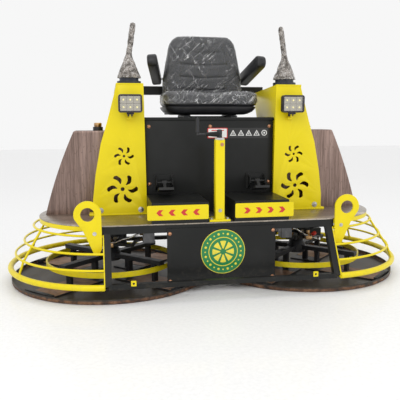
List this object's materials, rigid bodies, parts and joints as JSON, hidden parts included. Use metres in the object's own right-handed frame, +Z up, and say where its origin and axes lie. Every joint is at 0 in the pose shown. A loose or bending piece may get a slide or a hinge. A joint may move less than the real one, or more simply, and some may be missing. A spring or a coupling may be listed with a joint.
{
  "type": "power trowel",
  "caption": "Ride-on power trowel with two pan-fitted rotors, guard cages, joystick towers, tanks, lamps and a sliding seat.",
  "frame": {"origin": "on the floor, midway between the two rotor axes", "axes": "+Z up; +X from the left rotor to the right rotor as seen by someone facing the machine's front; the front faces -Y"},
  "size_m": [1.98, 0.9966, 1.2355],
  "materials": {
    "yellow_paint": "glossy yellow paint",
    "black_paint": "satin black paint",
    "deck_steel": "bare sheet steel",
    "zinc": "zinc plated",
    "brass": "brass",
    "pan_steel": "dark steel with a rusted rim",
    "cast_metal": "cast, semi-rough",
    "engine_alloy": "cast aluminium",
    "vinyl": "smooth black vinyl",
    "black_plastic": "moulded black plastic",
    "clear_film": "clear packing film",
    "lamp_alloy": "black die-cast housing"
  },
  "bodies": {
    "machine": {"deck_plate": "deck_steel", "tank_left": "deck_steel", "tank_right": "deck_steel", "crank_column": "yellow_paint", "deck_skirt_left": "yellow_paint", "deck_skirt_right": "yellow_paint", "lifting_eye_left": "yellow_paint", "lifting_eye_right": "yellow_paint", "guard_cage_left": "yellow_paint", "guard_cage_right": "yellow_paint", "step_plate_left": "yellow_paint", "step_plate_right": "yellow_paint", "control_tower_left": "yellow_paint", "control_tower_right": "yellow_paint", "main_frame": "black_paint", "lower_front_panel": "black_paint", "step_box_left": "black_paint", "step_box_right": "black_paint", "hood": "black_paint", "rear_crossbar": "black_paint", "lamp_bracket_left": "black_paint", "lamp_bracket_right": "black_paint", "pedal_mount_left": "black_paint", "pedal_mount_right": "black_paint", "hydraulic_pump": "zinc", "seat_rails": "cast_metal", "engine_block": "engine_alloy", "engine_fan_housing": "black_plastic", "joystick_base_left": "black_plastic", "joystick_base_right": "black_plastic"},
    "gearbox_left": {"gearbox_left": "cast_metal", "hydraulic_motor_left": "zinc"},
    "rotor_left": {"rotor_spider_left": "cast_metal", "stabiliser_ring_left": "yellow_paint", "float_pan_left": "pan_steel"},
    "yoke_right": {"tilt_yoke_right": "black_paint"},
    "gearbox_right": {"gearbox_right": "cast_metal", "hydraulic_motor_right": "zinc"},
    "rotor_right": {"rotor_spider_right": "cast_metal", "stabiliser_ring_right": "yellow_paint", "float_pan_right": "pan_steel"},
    "crank": {"crank_arm": "black_paint"},
    "crank_grip": {"crank_grip": "zinc"},
    "seat": {"seat_shell": "black_plastic", "seat_cushion": "vinyl", "seat_backrest": "vinyl"},
    "armrest_left": {"armrest_left": "black_plastic"},
    "armrest_right": {"armrest_right": "black_plastic"},
    "stick_left": {"joystick_lever_left": "cast_metal", "joystick_wrap_left": "clear_film"},
    "stick_gimbal_right": {"joystick_gimbal_right": "zinc"},
    "stick_right": {"joystick_lever_right": "cast_metal", "joystick_wrap_right": "clear_film"},
    "lamp_left": {"lamp_left": "lamp_alloy"},
    "lamp_right": {"lamp_right": "lamp_alloy"},
    "tank_cap_left": {"tank_cap_left": "brass"},
    "tank_cap_right": {"tank_cap_right": "brass"},
    "pedal_left": {"pedal_left": "zinc"},
    "pedal_right": {"pedal_right": "zinc"}
  },
  "joints": [
    {"name": "gearbox_left_tilt", "type": "hinge", "parent": "machine", "child": "gearbox_left", "pos_m": [-0.49, 0, 0.197], "axis": [0, 1, 0], "range_deg": [-1.2, 1.2]},
    {"name": "rotor_left_spin", "type": "hinge", "parent": "gearbox_left", "child": "rotor_left", "pos_m": [-0.49, 0, 0.1], "axis": [0, 0, 1], "continuous": true},
    {"name": "yoke_right_tilt", "type": "hinge", "parent": "machine", "child": "yoke_right", "pos_m": [0.49, 0, 0.197], "axis": [0, 1, 0], "range_deg": [-1.2, 1.2]},
    {"name": "gearbox_right_tilt", "type": "hinge", "parent": "yoke_right", "child": "gearbox_right", "pos_m": [0.49, 0, 0.197], "axis": [1, 0, 0], "range_deg": [-1.2, 1.2]},
    {"name": "rotor_right_spin", "type": "hinge", "parent": "gearbox_right", "child": "rotor_right", "pos_m": [0.49, 0, 0.1], "axis": [0, 0, 1], "continuous": true},
    {"name": "crank_turn", "type": "hinge", "parent": "machine", "child": "crank", "pos_m": [-0.008, -0.351, 0.713], "axis": [0, 0, 1], "continuous": true},
    {"name": "crank_grip_spin", "type": "hinge", "parent": "crank", "child": "crank_grip", "pos_m": [-0.107, -0.351, 0.751], "axis": [0, 0, 1], "continuous": true},
    {"name": "seat_slide", "type": "slide", "parent": "machine", "child": "seat", "axis": [0, 1, 0], "range_m": [-0.04, 0.03]},
    {"name": "armrest_left_fold", "type": "hinge", "parent": "seat", "child": "armrest_left", "pos_m": [-0.226, 0.2504, 0.9934], "axis": [1, 0, 0], "range_deg": [-68, 22]},
    {"name": "armrest_right_fold", "type": "hinge", "parent": "seat", "child": "armrest_right", "pos_m": [0.254, 0.2504, 0.9934], "axis": [1, 0, 0], "range_deg": [-68, 22]},
    {"name": "stick_left_push", "type": "hinge", "parent": "machine", "child": "stick_left", "pos_m": [-0.388, -0.05, 0.966], "axis": [1, 0, 0], "range_deg": [-10, 10]},
    {"name": "stick_right_push", "type": "hinge", "parent": "machine", "child": "stick_gimbal_right", "pos_m": [0.388, -0.05, 0.966], "axis": [1, 0, 0], "range_deg": [-10, 10]},
    {"name": "stick_right_sway", "type": "hinge", "parent": "stick_gimbal_right", "child": "stick_right", "pos_m": [0.388, -0.05, 0.966], "axis": [0, 1, 0], "range_deg": [-10, 10]},
    {"name": "lamp_left_aim", "type": "hinge", "parent": "machine", "child": "lamp_left", "pos_m": [-0.391, -0.1495, 0.799], "axis": [1, 0, 0], "range_deg": [-12, 14]},
    {"name": "lamp_right_aim", "type": "hinge", "parent": "machine", "child": "lamp_right", "pos_m": [0.391, -0.1495, 0.799], "axis": [1, 0, 0], "range_deg": [-12, 14]},
    {"name": "tank_cap_left_turn", "type": "hinge", "parent": "machine", "child": "tank_cap_left", "pos_m": [-0.541, 0.036, 0.74], "axis": [0, 0, 1], "continuous": true},
    {"name": "tank_cap_right_turn", "type": "hinge", "parent": "machine", "child": "tank_cap_right", "pos_m": [0.541, 0.036, 0.74], "axis": [0, 0, 1], "continuous": true},
    {"name": "pedal_left_press", "type": "hinge", "parent": "machine", "child": "pedal_left", "pos_m": [-0.232, -0.128, 0.476], "axis": [1, 0, 0], "range_deg": [0, 8], "stiffness_Nm_per_rad": 4, "springref_deg": -22.92},
    {"name": "pedal_right_press", "type": "hinge", "parent": "machine", "child": "pedal_right", "pos_m": [0.232, -0.128, 0.476], "axis": [1, 0, 0], "range_deg": [0, 8], "stiffness_Nm_per_rad": 4, "springref_deg": -22.92}
  ],
  "couplings": [
    {"joint": "rotor_right_spin", "follows": "rotor_left_spin", "ratio": -1},
    {"joint": "stick_left_push", "follows": "gearbox_left_tilt", "ratio": 8.3},
    {"joint": "stick_right_push", "follows": "yoke_right_tilt", "ratio": 8.3},
    {"joint": "stick_right_sway", "follows": "gearbox_right_tilt", "ratio": 8.3}
  ]
}
